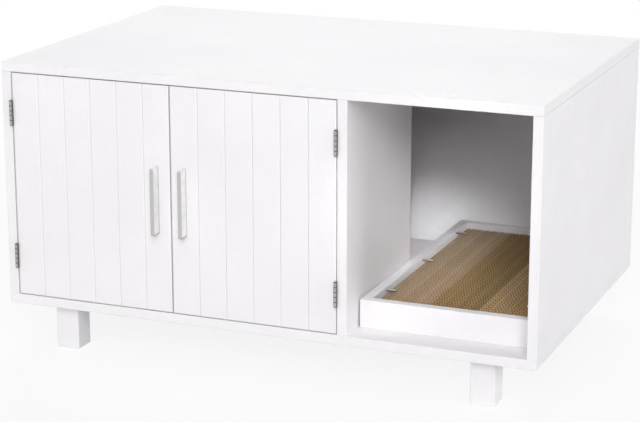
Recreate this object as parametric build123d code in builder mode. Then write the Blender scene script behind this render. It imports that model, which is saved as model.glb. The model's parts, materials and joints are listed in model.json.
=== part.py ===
from build123d import *
import os

# Litter box enclosure: a painted cabinet on legs, with two beadboard doors and an open bay that holds a
# scratching tray. Lengths are in millimetres. +X is the cabinet's right, +Y its back and +Z up. The origin is
# on the floor, under the middle of the space that the cabinet and its handles take up.

# Carcass boards
cabinet_width = 850.0
cabinet_depth = 550.0
carcass_height = 382.0
board = 15.0
eased_edge = 1.0
bay_width = 273.0
divider_depth = 275.0
back_thickness = 5.0
back_inset = 20.0
back_groove_depth = 6.0
groove_clearance = 0.3

# Legs, each on a hanger bolt in a threaded insert
leg_size = 38.0
leg_height = 72.0
leg_side_inset = 67.0
leg_end_inset = 23.0
leg_edge_radius = 1.5
leg_bolt_diameter = 8.0
leg_bolt_in_leg = 30.0
leg_bolt_chamfer = 0.8
insert_diameter = 12.0

# Board fixings: cams, cam bolts and dowels. blind_wall is the wood left behind a blind hole in a face.
blind_wall = 3.0
fixing_clearance = 0.1
cam_diameter = 15.0
cam_recess = 0.4
cam_from_edge = 24.0
cam_setback = 60.0
cam_slot_length = 8.0
cam_slot_width = 1.8
cam_slot_depth = 2.5
cam_bolt_diameter = 6.0
cam_bolt_waist = 4.0
cam_bolt_head_diameter = 7.0
cam_bolt_head_length = 5.0
dowel_diameter = 8.0
dowel_in_edge = 18.0
dowel_setback = 130.0
dowel_chamfer = 0.8
divider_dowel_setback = 45.0

# Doors
door_thickness = 15.0
plank_count = 6
v_groove_width = 3.0
v_groove_depth = 1.5

# Butt hinges, measured to the middle of each from the carcass's top and bottom
hinge_length = 38.0
hinge_from_end = 78.0
knuckle_count = 5
knuckle_gap = 0.35
leaf_thickness = 0.7
leaf_gap = 0.3
leaf_back_margin = 2.5
leaf_corner_radius = 2.0
hinge_pin_diameter = 4.5
hinge_pin_clearance = 0.05
hinge_pin_proud = 0.6
barrel_standoff = 0.3
hinge_screw_head_diameter = 4.8
hinge_screw_diameter = 2.5
hinge_screw_length = 11.0
hinge_screw_spacing = 20.0

# Pulls: solid bars, held by machine screws from the back of the doors
handle_length = 104.0
handle_width = 6.5
handle_projection = 18.0
handle_end_radius = 3.0
handle_edge_radius = 1.2
handle_from_edge = 21.9
handle_centres = 64.0
handle_screw_diameter = 4.0
handle_screw_in_bar = 10.0
handle_screw_head_diameter = 7.5
handle_screw_head_height = 2.2

# Magnetic catch for the pair of doors
catch_width = 44.0
catch_depth = 16.0
catch_height = 13.0
catch_ear_length = 10.0
catch_ear_thickness = 3.0
catch_gap = 0.3
magnet_width = 15.0
magnet_height = 6.0
magnet_depth = 8.0
magnet_proud = 0.8
magnet_spacing = 24.0
strike_width = 18.0
strike_height = 9.0
strike_thickness = 1.0
catch_screw_head_diameter = 5.0
catch_screw_diameter = 2.8
catch_screw_length = 11.0

# Scratching tray and its pad
tray_side_gap = 3.0
tray_setback = 47.0
tray_back_gap = 3.0
tray_height = 43.0
rail_thickness = 15.0
tray_base_thickness = 5.0
tray_base_lift = 4.0
tray_groove_depth = 5.0
tray_dowel_diameter = 6.0
tray_dowel_in_end = 14.0
tray_dowel_from_base = 8.0
tray_dowel_from_top = 9.0
pad_drop = 8.0
pad_side_gap = 4.0
pad_end_gap = 6.0
pad_ply_pitch = 4.5
pad_ply_gap = 0.8
pad_ply_depth = 1.0
pad_pin_diameter = 3.2
pad_pin_reach = 17.0
pad_pin_in_rail = 9.0
pad_pin_drop = 3.0
pad_pin_spacing = 168.0

# Planes of the carcass
front_y = (handle_projection - cabinet_depth) / 2
back_y = front_y + cabinet_depth
mid_y = front_y + cabinet_depth / 2
base_z = leg_height
floor_z = base_z + board
ceiling_z = base_z + carcass_height - board
top_z = base_z + carcass_height
inside_height = ceiling_z - floor_z
left_face_x = board - cabinet_width / 2
right_face_x = cabinet_width / 2 - board
bay_left_x = right_face_x - bay_width
divider_face_x = bay_left_x - board
back_panel_back_y = back_y - back_inset
back_panel_front_y = back_panel_back_y - back_thickness
face_hole_depth = board - blind_wall

os.makedirs("parts", exist_ok=True)


def write_piece(piece, label):
    """Labels a finished piece and writes it under that name."""
    piece.label = label
    export_step(piece, f"parts/{label}.step")


def copies(piece, places):
    """Returns one group of separate solids, a copy of the piece at each place."""
    with BuildPart() as group:
        with Locations(*places):
            add(piece)
    return group.part


def wood_screw(head_diameter, diameter, length):
    """A countersunk screw with its head on the XY plane and its shank along -Z."""
    cone = (head_diameter - diameter) / 2
    with BuildPart() as screw:
        with BuildSketch(Plane.XZ):
            with BuildLine():
                Polyline(
                    (0, 0),
                    (head_diameter / 2, 0),
                    (diameter / 2, -cone),
                    (diameter / 2, diameter - length),
                    (0, -length),
                    close=True,
                )
            make_face()
        revolve(axis=Axis.Z)
    return screw.part


def screw_seat(head_diameter, diameter, length):
    """Cuts the countersunk hole that such a screw goes into, at the current locations."""
    CounterSinkHole(
        radius=diameter / 2 + fixing_clearance,
        counter_sink_radius=head_diameter / 2 + fixing_clearance,
        depth=length + fixing_clearance,
        counter_sink_angle=90,
    )


# Places of the board fixings. Each upright board has a row of cams on one face, and each row has a bolt and
# dowels at the board's top and bottom edges.
side_cam_ys = (front_y + cam_setback, back_y - cam_setback)
side_dowel_ys = (front_y + dowel_setback, back_y - dowel_setback)
divider_cam_ys = (front_y + divider_depth / 2,)
divider_dowel_ys = (
    front_y + divider_dowel_setback,
    front_y + divider_depth - divider_dowel_setback,
)
uprights = (
    (left_face_x, 1, side_cam_ys, side_dowel_ys),
    (right_face_x, -1, side_cam_ys, side_dowel_ys),
    (divider_face_x, -1, divider_cam_ys, divider_dowel_ys),
)


def cam_places(face_x, normal, ys):
    """Planes on a board's face, with local +X towards the edge that the cam pulls up to."""
    places = []
    for y in ys:
        places.append(Plane((face_x, y, ceiling_z - cam_from_edge), x_dir=(0, 0, 1), z_dir=(normal, 0, 0)))
        places.append(Plane((face_x, y, floor_z + cam_from_edge), x_dir=(0, 0, -1), z_dir=(normal, 0, 0)))
    return places


def upper_edge_places(face_x, normal, ys):
    """Planes on a board's top edge, facing up."""
    return [Plane((face_x - normal * board / 2, y, ceiling_z), z_dir=(0, 0, 1)) for y in ys]


def lower_edge_places(face_x, normal, ys):
    """Planes on a board's bottom edge, facing down."""
    return [Plane((face_x - normal * board / 2, y, floor_z), z_dir=(0, 0, -1)) for y in ys]


all_cam_places = []
upper_bolt_places = []
lower_bolt_places = []
upper_dowel_places = []
lower_dowel_places = []
for face_x, normal, cam_ys, dowel_ys in uprights:
    all_cam_places += cam_places(face_x, normal, cam_ys)
    upper_bolt_places += upper_edge_places(face_x, normal, cam_ys)
    lower_bolt_places += lower_edge_places(face_x, normal, cam_ys)
    upper_dowel_places += upper_edge_places(face_x, normal, dowel_ys)
    lower_dowel_places += lower_edge_places(face_x, normal, dowel_ys)

# Places of the legs
leg_x = cabinet_width / 2 - leg_side_inset - leg_size / 2
front_leg_y = front_y + leg_end_inset + leg_size / 2
back_leg_y = back_y - leg_end_inset - leg_size / 2
legs = {
    "front_left_leg": (-leg_x, front_leg_y),
    "front_right_leg": (leg_x, front_leg_y),
    "back_left_leg": (-leg_x, back_leg_y),
    "back_right_leg": (leg_x, back_leg_y),
}

# Doors and hinges. The two leaves of a closed hinge fill the gap beside the door, and the barrel stands in
# front of it.
door_gap = 2 * leaf_thickness + leaf_gap
door_width = (divider_face_x - left_face_x - 3 * door_gap) / 2
door_height = inside_height - 2 * door_gap
door_z = floor_z + door_gap
door_back_y = front_y + door_thickness
meeting_x = (left_face_x + divider_face_x) / 2
hinge_pin_radius = hinge_pin_diameter / 2
hinge_bore_radius = hinge_pin_radius + hinge_pin_clearance
barrel_radius = hinge_bore_radius + leaf_thickness
hinge_axis_y = front_y - barrel_radius - barrel_standoff
leaf_depth = door_thickness - leaf_back_margin
knuckle_pitch = hinge_length / knuckle_count
hinge_heights = {"upper": top_z - hinge_from_end, "lower": base_z + hinge_from_end}


def leaf_screw_places(surface_x, normal):
    """Planes on a hinge leaf's face at both hinges of a door, with two screws a leaf."""
    places = []
    for z in hinge_heights.values():
        for offset in (-hinge_screw_spacing / 2, hinge_screw_spacing / 2):
            places.append(Plane((surface_x, front_y + leaf_depth / 2, z + offset), z_dir=(normal, 0, 0)))
    return places


def leaf_screw_seat():
    """Cuts the seat of a hinge screw."""
    screw_seat(hinge_screw_head_diameter, hinge_screw_diameter, hinge_screw_length)


# Each door: the board that carries it, the way that it reaches from the hinge, and its handle's place
handle_z = door_z + door_height / 2
handle_offset = door_gap / 2 + handle_from_edge
doors = {
    "left": (left_face_x, 1, meeting_x - handle_offset),
    "right": (divider_face_x, -1, meeting_x + handle_offset),
}
frame_leaf_screw_places = {
    side: leaf_screw_places(face_x + way * leaf_thickness, way) for side, (face_x, way, _) in doors.items()
}
door_leaf_screw_places = {
    side: leaf_screw_places(face_x + way * (leaf_thickness + leaf_gap), -way)
    for side, (face_x, way, _) in doors.items()
}

# Places of the catch: its face stands behind the strike plates on the backs of the doors
strike_face_y = door_back_y + strike_thickness
catch_front_y = strike_face_y + catch_gap + magnet_proud
catch_mid_y = catch_front_y + catch_depth / 2
magnet_z = ceiling_z - door_gap - strike_height / 2 - catch_ear_thickness / 2
catch_screw_x = (catch_width + catch_ear_length) / 2
catch_screw_places = [
    Plane((meeting_x + side * catch_screw_x, catch_mid_y, ceiling_z - catch_ear_thickness), z_dir=(0, 0, -1))
    for side in (-1, 1)
]
strike_xs = {"left": meeting_x - magnet_spacing / 2, "right": meeting_x + magnet_spacing / 2}


def catch_screw_seat():
    """Cuts the seat of a screw of the catch or of a strike plate."""
    screw_seat(catch_screw_head_diameter, catch_screw_diameter, catch_screw_length)


# The groove that the back panel stands in, cut out of the four boards around it
back_panel_mid_y = (back_panel_front_y + back_panel_back_y) / 2
back_groove_width = right_face_x - left_face_x + 2 * back_groove_depth
back_groove_height = inside_height + 2 * back_groove_depth

with BuildPart() as back_groove:
    with BuildSketch(Plane((0, back_panel_mid_y, floor_z - back_groove_depth))):
        Rectangle(back_groove_width, back_thickness + 2 * groove_clearance)
    extrude(amount=back_groove_height)

# Top and bottom panels
with BuildPart() as top_panel:
    with BuildSketch(Plane((0, mid_y, ceiling_z))):
        Rectangle(cabinet_width, cabinet_depth)
    extrude(amount=board)
    fillet(top_panel.edges(), eased_edge)
    add(back_groove.part, mode=Mode.SUBTRACT)
    with Locations(*[Plane(place.origin, z_dir=(0, 0, -1)) for place in upper_bolt_places]):
        Hole(cam_bolt_diameter / 2 + fixing_clearance, depth=face_hole_depth)
    with Locations(*[Plane(place.origin, z_dir=(0, 0, -1)) for place in upper_dowel_places]):
        Hole(dowel_diameter / 2 + fixing_clearance, depth=face_hole_depth)
    with Locations(*catch_screw_places):
        catch_screw_seat()
write_piece(top_panel.part, "top_panel")

with BuildPart() as bottom_panel:
    with BuildSketch(Plane((0, mid_y, base_z))):
        Rectangle(cabinet_width, cabinet_depth)
    extrude(amount=board)
    fillet(bottom_panel.edges(), eased_edge)
    add(back_groove.part, mode=Mode.SUBTRACT)
    with Locations(*[Plane(place.origin, z_dir=(0, 0, 1)) for place in lower_bolt_places]):
        Hole(cam_bolt_diameter / 2 + fixing_clearance, depth=face_hole_depth)
    with Locations(*[Plane(place.origin, z_dir=(0, 0, 1)) for place in lower_dowel_places]):
        Hole(dowel_diameter / 2 + fixing_clearance, depth=face_hole_depth)
    with Locations(*[Plane((x, y, base_z), z_dir=(0, 0, -1)) for x, y in legs.values()]):
        Hole(insert_diameter / 2 + fixing_clearance, depth=face_hole_depth)
write_piece(bottom_panel.part, "bottom_panel")


cam_bolt_hole_depth = cam_from_edge + cam_bolt_head_length / 2 + fixing_clearance


def edge_places(face_x, normal, ys):
    """Planes on both edges of a board."""
    return upper_edge_places(face_x, normal, ys) + lower_edge_places(face_x, normal, ys)


def upright_board(face_x, normal, depth, cam_ys, dowel_ys):
    """An upright board from the front, drilled for the fixings in its face and edges."""
    with BuildPart() as upright:
        with BuildSketch(Plane((face_x - normal * board / 2, front_y + depth / 2, floor_z))):
            Rectangle(board, depth)
        extrude(amount=inside_height)
        fillet(upright.edges().filter_by(Axis.Z), eased_edge)
        with Locations(*cam_places(face_x, normal, cam_ys)):
            Hole(cam_diameter / 2 + fixing_clearance, depth=face_hole_depth)
        with Locations(*edge_places(face_x, normal, cam_ys)):
            Hole(cam_bolt_head_diameter / 2 + fixing_clearance, depth=cam_bolt_hole_depth)
        with Locations(*edge_places(face_x, normal, dowel_ys)):
            Hole(dowel_diameter / 2 + fixing_clearance, depth=dowel_in_edge + fixing_clearance)
    return upright.part


# Side panels and divider
with BuildPart() as left_side_panel:
    add(upright_board(left_face_x, 1, cabinet_depth, side_cam_ys, side_dowel_ys))
    add(back_groove.part, mode=Mode.SUBTRACT)
    with Locations(*frame_leaf_screw_places["left"]):
        leaf_screw_seat()
write_piece(left_side_panel.part, "left_side_panel")

with BuildPart() as right_side_panel:
    add(upright_board(right_face_x, -1, cabinet_depth, side_cam_ys, side_dowel_ys))
    add(back_groove.part, mode=Mode.SUBTRACT)
write_piece(right_side_panel.part, "right_side_panel")

with BuildPart() as divider_panel:
    add(upright_board(divider_face_x, -1, divider_depth, divider_cam_ys, divider_dowel_ys))
    with Locations(*frame_leaf_screw_places["right"]):
        leaf_screw_seat()
write_piece(divider_panel.part, "divider_panel")

# Back panel, standing on the floor of the bottom groove
with BuildPart() as back_panel:
    with BuildSketch(Plane((0, back_panel_mid_y, floor_z - back_groove_depth))):
        Rectangle(back_groove_width - 2 * groove_clearance, back_thickness)
    extrude(amount=back_groove_height - groove_clearance)
write_piece(back_panel.part, "back_panel")

# Cam locks: a disc with a cross slot in its face and a bore that takes the bolt's head
with BuildPart() as cam_lock:
    with BuildSketch(Plane.XY.offset(-cam_recess)):
        Circle(cam_diameter / 2)
    extrude(amount=cam_recess - face_hole_depth)
    with BuildSketch(Plane.YZ.offset(-cam_bolt_head_length / 2 - fixing_clearance)):
        with Locations((0, -board / 2)):
            Circle(cam_bolt_head_diameter / 2 + fixing_clearance)
    extrude(amount=cam_diameter, mode=Mode.SUBTRACT)
    with BuildSketch(Plane.XY.offset(-cam_recess)):
        Rectangle(cam_slot_length, cam_slot_width)
        Rectangle(cam_slot_width, cam_slot_length)
    extrude(amount=-cam_slot_depth, mode=Mode.SUBTRACT)
write_piece(copies(cam_lock.part, all_cam_places), "cam_locks")

# Cam bolts: screwed into the top or bottom panel above the XY plane, and held by a cam below it
with BuildPart() as cam_bolt:
    with BuildSketch(Plane.XY):
        Circle(cam_bolt_diameter / 2)
    extrude(amount=face_hole_depth - fixing_clearance)
    with BuildSketch(Plane.XY):
        Circle(cam_bolt_waist / 2)
    extrude(amount=-cam_from_edge)
    with BuildSketch(Plane.XY.offset(-cam_from_edge - cam_bolt_head_length / 2)):
        Circle(cam_bolt_head_diameter / 2)
    extrude(amount=cam_bolt_head_length)
write_piece(copies(cam_bolt.part, upper_bolt_places + lower_bolt_places), "cam_bolts")

# Dowels between the uprights and the top and bottom panels
with BuildPart() as panel_dowel:
    with BuildSketch(Plane.XY.offset(-dowel_in_edge)):
        Circle(dowel_diameter / 2)
    extrude(amount=dowel_in_edge + face_hole_depth - fixing_clearance)
    chamfer(panel_dowel.edges().filter_by(GeomType.CIRCLE), dowel_chamfer)
write_piece(copies(panel_dowel.part, upper_dowel_places + lower_dowel_places), "panel_dowels")

# Legs, bored from the top for their bolts
for label, (x, y) in legs.items():
    with BuildPart() as leg:
        with BuildSketch(Plane((x, y, 0))):
            Rectangle(leg_size, leg_size)
        extrude(amount=leg_height)
        fillet(leg.edges().filter_by(Axis.Z), leg_edge_radius)
        fillet(leg.faces().sort_by(Axis.Z)[0].edges(), leg_edge_radius)
        with Locations(Plane((x, y, leg_height))):
            Hole(leg_bolt_diameter / 2 + fixing_clearance, depth=leg_bolt_in_leg + fixing_clearance)
    write_piece(leg.part, label)

leg_tops = [Plane((x, y, base_z)) for x, y in legs.values()]

with BuildPart() as leg_bolt:
    with BuildSketch(Plane.XY.offset(-leg_bolt_in_leg)):
        Circle(leg_bolt_diameter / 2)
    extrude(amount=leg_bolt_in_leg + face_hole_depth - fixing_clearance)
    chamfer(leg_bolt.edges().filter_by(GeomType.CIRCLE), leg_bolt_chamfer)
write_piece(copies(leg_bolt.part, leg_tops), "leg_bolts")

with BuildPart() as leg_insert:
    with BuildSketch(Plane.XY):
        Circle(insert_diameter / 2)
        Circle(leg_bolt_diameter / 2 + fixing_clearance, mode=Mode.SUBTRACT)
    extrude(amount=face_hole_depth - fixing_clearance)
write_piece(copies(leg_insert.part, leg_tops), "leg_inserts")


def hinge_leaf(board_x, inward, axis_x, z, knuckles):
    """One leaf of a butt hinge: a plate on a board, with the knuckles that it is rolled into."""
    plate_x = board_x + inward * leaf_thickness / 2
    low_z = z - hinge_length / 2
    with BuildPart() as leaf:
        with BuildSketch(Plane((plate_x, front_y + leaf_depth / 2, low_z))):
            Rectangle(leaf_thickness, leaf_depth)
        extrude(amount=hinge_length)
        fillet(leaf.edges().filter_by(Axis.X).group_by(Axis.Y)[-1], leaf_corner_radius)
        for knuckle in knuckles:
            with BuildSketch(Plane.XY.offset(low_z + knuckle * knuckle_pitch + knuckle_gap / 2)):
                with Locations((axis_x, hinge_axis_y)):
                    Circle(barrel_radius)
                with Locations((plate_x, (hinge_axis_y + front_y) / 2)):
                    Rectangle(leaf_thickness, front_y - hinge_axis_y)
            extrude(amount=knuckle_pitch - knuckle_gap)
        with Locations(Plane((axis_x, hinge_axis_y, z + hinge_length / 2))):
            Hole(hinge_bore_radius, depth=hinge_length)
        with Locations(*leaf_screw_places(board_x + inward * leaf_thickness, inward)):
            leaf_screw_seat()
    return leaf.part


# Hinges: the frame leaf has the outer knuckles and holds the pin, and the door leaf turns on it
frame_knuckles = range(0, knuckle_count, 2)
door_knuckles = range(1, knuckle_count, 2)
for side, (face_x, way, _) in doors.items():
    axis_x = face_x + way * door_gap / 2
    edge_x = face_x + way * door_gap
    for level, z in hinge_heights.items():
        write_piece(hinge_leaf(face_x, way, axis_x, z, frame_knuckles), f"{side}_{level}_hinge_frame_leaf")
        write_piece(hinge_leaf(edge_x, -way, axis_x, z, door_knuckles), f"{side}_{level}_hinge_door_leaf")
        with BuildPart() as hinge_pin:
            with BuildSketch(Plane((axis_x, hinge_axis_y, z - hinge_length / 2 - hinge_pin_proud))):
                Circle(hinge_pin_radius)
            extrude(amount=hinge_length + 2 * hinge_pin_proud)
            fillet(hinge_pin.edges().filter_by(GeomType.CIRCLE), hinge_pin_proud)
        write_piece(hinge_pin.part, f"{side}_{level}_hinge_pin")

hinge_screw = wood_screw(hinge_screw_head_diameter, hinge_screw_diameter, hinge_screw_length)
write_piece(
    copies(hinge_screw, frame_leaf_screw_places["left"] + frame_leaf_screw_places["right"]),
    "frame_leaf_screws",
)


def handle_hole_places(handle_x, y):
    """Planes at the two screws of a handle, facing the back."""
    return [
        Plane((handle_x, y, handle_z + offset), z_dir=(0, 1, 0))
        for offset in (-handle_centres / 2, handle_centres / 2)
    ]


def off_the_door(edge):
    """Whether an edge of a handle lies clear of the door's face."""
    return edge.center().Y < front_y - handle_edge_radius


catch_screw = wood_screw(catch_screw_head_diameter, catch_screw_diameter, catch_screw_length)

with BuildPart() as handle_screw:
    with BuildSketch(Plane.XY):
        Circle(handle_screw_head_diameter / 2)
    extrude(amount=handle_screw_head_height)
    fillet(handle_screw.edges().group_by(Axis.Z)[-1], handle_screw_head_height / 2)
    with BuildSketch(Plane.XY):
        Circle(handle_screw_diameter / 2)
    extrude(amount=-door_thickness - handle_screw_in_bar)

# Doors, with what each one carries
for side, (face_x, way, handle_x) in doors.items():
    edge_x = face_x + way * door_gap
    strike_place = Plane((strike_xs[side], strike_face_y, magnet_z), x_dir=(1, 0, 0), z_dir=(0, 1, 0))
    plank_width = door_width / plank_count

    # The slab: six planks parted by V grooves on the front
    with BuildPart() as door:
        with BuildSketch(Plane((edge_x + way * door_width / 2, front_y + door_thickness / 2, door_z))):
            Rectangle(door_width, door_thickness)
        extrude(amount=door_height)
        fillet(door.faces().sort_by(Axis.Y)[0].edges(), eased_edge)
        with BuildSketch(Plane((edge_x, front_y, door_z))):
            with Locations(*[(way * plank * plank_width, 0) for plank in range(1, plank_count)]):
                Polygon(
                    (-v_groove_width, -v_groove_depth),
                    (v_groove_width, -v_groove_depth),
                    (0, v_groove_depth),
                    align=None,
                )
        extrude(amount=door_height, mode=Mode.SUBTRACT)
        with Locations(*door_leaf_screw_places[side]):
            leaf_screw_seat()
        with Locations(*handle_hole_places(handle_x, door_back_y)):
            Hole(handle_screw_diameter / 2 + fixing_clearance, depth=door_thickness)
        with Locations(strike_place):
            catch_screw_seat()
    write_piece(door.part, f"{side}_door")
    write_piece(copies(hinge_screw, door_leaf_screw_places[side]), f"{side}_leaf_screws")

    # The pull: a bar on edge, gripped by its sides and rounded except where it meets the door
    with BuildPart() as handle:
        with BuildSketch(Plane((handle_x, front_y - handle_projection / 2, handle_z - handle_length / 2))):
            Rectangle(handle_width, handle_projection)
        extrude(amount=handle_length)
        fillet(handle.edges().filter_by(Axis.X).filter_by(off_the_door), handle_end_radius)
        bar_faces = handle.faces().sort_by(Axis.X)
        bar_edges = bar_faces[0].edges() + bar_faces[-1].edges()
        fillet(bar_edges.filter_by(off_the_door), handle_edge_radius)
        with Locations(*handle_hole_places(handle_x, front_y)):
            Hole(handle_screw_diameter / 2 + fixing_clearance, depth=handle_screw_in_bar + fixing_clearance)
    write_piece(handle.part, f"{side}_handle")
    write_piece(copies(handle_screw.part, handle_hole_places(handle_x, door_back_y)), f"{side}_handle_screws")

    # The steel plate that the magnet pulls on
    with BuildPart() as strike_plate:
        with BuildSketch(strike_place):
            RectangleRounded(strike_width, strike_height, strike_thickness)
        extrude(amount=-strike_thickness)
        with Locations(strike_place):
            catch_screw_seat()
    write_piece(strike_plate.part, f"{side}_strike_plate")
    write_piece(copies(catch_screw, [strike_place]), f"{side}_strike_screw")

# Catch: a housing with an ear at each end, and a magnet for each door
magnet_places = [
    Plane((x, catch_front_y, magnet_z), x_dir=(1, 0, 0), z_dir=(0, -1, 0)) for x in strike_xs.values()
]

with BuildPart() as catch_housing:
    with BuildSketch(Plane((meeting_x, catch_mid_y, ceiling_z))):
        RectangleRounded(catch_width + 2 * catch_ear_length, catch_depth, catch_ear_thickness)
    extrude(amount=-catch_ear_thickness)
    with BuildSketch(Plane((meeting_x, catch_mid_y, ceiling_z))):
        Rectangle(catch_width, catch_depth)
    extrude(amount=-catch_height)
    fillet(catch_housing.edges().filter_by(Axis.Z).group_by(Axis.Y)[0].sort_by(Axis.Z)[:2], eased_edge)
    for place in magnet_places:
        with BuildSketch(place):
            Rectangle(magnet_width + 2 * fixing_clearance, magnet_height + 2 * fixing_clearance)
        extrude(amount=-(magnet_depth - magnet_proud), mode=Mode.SUBTRACT)
    with Locations(*catch_screw_places):
        catch_screw_seat()
write_piece(catch_housing.part, "catch_housing")
write_piece(copies(catch_screw, catch_screw_places), "catch_screws")

with BuildPart() as magnet:
    with BuildSketch(Plane.XY.offset(magnet_proud - magnet_depth)):
        Rectangle(magnet_width, magnet_height)
    extrude(amount=magnet_depth)
write_piece(copies(magnet.part, magnet_places), "catch_magnets")

# Tray: front and back rails across its width, with the side rails between them
tray_left_x = bay_left_x + tray_side_gap
tray_right_x = right_face_x - tray_side_gap
tray_mid_x = (tray_left_x + tray_right_x) / 2
tray_width = tray_right_x - tray_left_x
tray_front_y = front_y + tray_setback
tray_back_y = back_panel_front_y - tray_back_gap
tray_mid_y = (tray_front_y + tray_back_y) / 2
tray_inner_width = tray_width - 2 * rail_thickness
tray_inner_depth = tray_back_y - tray_front_y - 2 * rail_thickness
tray_top_z = floor_z + tray_height
tray_base_z = floor_z + tray_base_lift
tray_base_top_z = tray_base_z + tray_base_thickness
end_rail_hole_depth = rail_thickness - blind_wall

# Each corner has two dowels along the depth, from an end rail into a side rail
tray_dowel_xs = (tray_left_x + rail_thickness / 2, tray_right_x - rail_thickness / 2)
tray_dowel_zs = (tray_base_top_z + tray_dowel_from_base, tray_top_z - tray_dowel_from_top)
front_corner_y = tray_front_y + rail_thickness
back_corner_y = tray_back_y - rail_thickness


def corner_places(xs, y, facing):
    """Planes at the dowels of the corners at one end, facing the end rail."""
    return [Plane((x, y, z), z_dir=(0, facing, 0)) for x in xs for z in tray_dowel_zs]


# The groove that holds the tray's base, cut out of the four rails
with BuildPart() as base_groove:
    with BuildSketch(Plane((tray_mid_x, tray_mid_y, tray_base_z))):
        Rectangle(tray_inner_width + 2 * tray_groove_depth, tray_inner_depth + 2 * tray_groove_depth)
    extrude(amount=tray_base_thickness + groove_clearance)

for label, rail_y, corner_y, facing in (
    ("tray_front_rail", tray_front_y + rail_thickness / 2, front_corner_y, -1),
    ("tray_back_rail", tray_back_y - rail_thickness / 2, back_corner_y, 1),
):
    with BuildPart() as end_rail:
        with BuildSketch(Plane((tray_mid_x, rail_y, floor_z))):
            Rectangle(tray_width, rail_thickness)
        extrude(amount=tray_height)
        fillet(end_rail.edges(), eased_edge)
        add(base_groove.part, mode=Mode.SUBTRACT)
        with Locations(*corner_places(tray_dowel_xs, corner_y, -facing)):
            Hole(tray_dowel_diameter / 2 + fixing_clearance, depth=end_rail_hole_depth)
    write_piece(end_rail.part, label)

# Side rails carry the pins that keep the pad down
pad_pin_ys = [tray_mid_y + row * pad_pin_spacing for row in (-1, 0, 1)]
pad_pin_z = tray_top_z - pad_pin_drop
pad_pin_places = {
    -1: [Plane((tray_left_x + rail_thickness, y, pad_pin_z), z_dir=(1, 0, 0)) for y in pad_pin_ys],
    1: [Plane((tray_right_x - rail_thickness, y, pad_pin_z), z_dir=(-1, 0, 0)) for y in pad_pin_ys],
}

for label, side, dowel_x in (
    ("tray_left_rail", -1, tray_dowel_xs[0]),
    ("tray_right_rail", 1, tray_dowel_xs[1]),
):
    with BuildPart() as side_rail:
        with BuildSketch(Plane((dowel_x, tray_mid_y, floor_z))):
            Rectangle(rail_thickness, tray_inner_depth)
        extrude(amount=tray_height)
        fillet(side_rail.edges().filter_by(Axis.Y), eased_edge)
        add(base_groove.part, mode=Mode.SUBTRACT)
        with Locations(*corner_places((dowel_x,), front_corner_y, -1)):
            Hole(tray_dowel_diameter / 2 + fixing_clearance, depth=tray_dowel_in_end + fixing_clearance)
        with Locations(*corner_places((dowel_x,), back_corner_y, 1)):
            Hole(tray_dowel_diameter / 2 + fixing_clearance, depth=tray_dowel_in_end + fixing_clearance)
        with Locations(*pad_pin_places[side]):
            Hole(pad_pin_diameter / 2 + fixing_clearance, depth=pad_pin_in_rail + fixing_clearance)
    write_piece(side_rail.part, label)

with BuildPart() as tray_dowel:
    with BuildSketch(Plane.XY.offset(-tray_dowel_in_end)):
        Circle(tray_dowel_diameter / 2)
    extrude(amount=tray_dowel_in_end + end_rail_hole_depth - fixing_clearance)
    chamfer(tray_dowel.edges().filter_by(GeomType.CIRCLE), dowel_chamfer)
tray_dowel_places = corner_places(tray_dowel_xs, front_corner_y, -1)
tray_dowel_places += corner_places(tray_dowel_xs, back_corner_y, 1)
write_piece(copies(tray_dowel.part, tray_dowel_places), "tray_dowels")

with BuildPart() as tray_base_panel:
    with BuildSketch(Plane((tray_mid_x, tray_mid_y, tray_base_z))):
        Rectangle(
            tray_inner_width + 2 * (tray_groove_depth - groove_clearance),
            tray_inner_depth + 2 * (tray_groove_depth - groove_clearance),
        )
    extrude(amount=tray_base_thickness)
write_piece(tray_base_panel.part, "tray_base_panel")

# Pad: strips of corrugated cardboard on edge, side by side, with a shallow line between each two
pad_width = tray_inner_width - 2 * pad_side_gap
pad_depth = tray_inner_depth - 2 * pad_end_gap
pad_top_z = tray_top_z - pad_drop
pad_line_count = int(pad_width / pad_ply_pitch) - 1

with BuildPart() as scratch_pad:
    with BuildSketch(Plane((tray_mid_x, tray_mid_y, tray_base_top_z))):
        Rectangle(pad_width, pad_depth)
    extrude(amount=pad_top_z - tray_base_top_z)
    with BuildSketch(Plane((tray_mid_x, tray_mid_y, pad_top_z))):
        with GridLocations(pad_ply_pitch, 0, pad_line_count, 1):
            Rectangle(pad_ply_gap, pad_depth)
    extrude(amount=-pad_ply_depth, mode=Mode.SUBTRACT)
write_piece(scratch_pad.part, "scratch_pad")

with BuildPart() as pad_pin:
    with BuildSketch(Plane.XY.offset(-pad_pin_in_rail)):
        Circle(pad_pin_diameter / 2)
    extrude(amount=pad_pin_in_rail + pad_pin_reach)
    fillet(pad_pin.edges().filter_by(GeomType.CIRCLE).sort_by(Axis.Z)[-1], pad_pin_diameter / 4)
write_piece(copies(pad_pin.part, pad_pin_places[-1] + pad_pin_places[1]), "pad_pins")
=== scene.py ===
# %% [markdown]
# A litter box enclosure is a small painted cabinet on legs. The cat walks into the open bay on the
# right, over a scratching tray, and turns left behind the divider to the litter box behind the two
# doors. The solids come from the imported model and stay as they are. This lesson gives them their
# finishes, and builds the things that are too fine for the solids: the corrugated cardboard and the
# heads of the screws.

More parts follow.
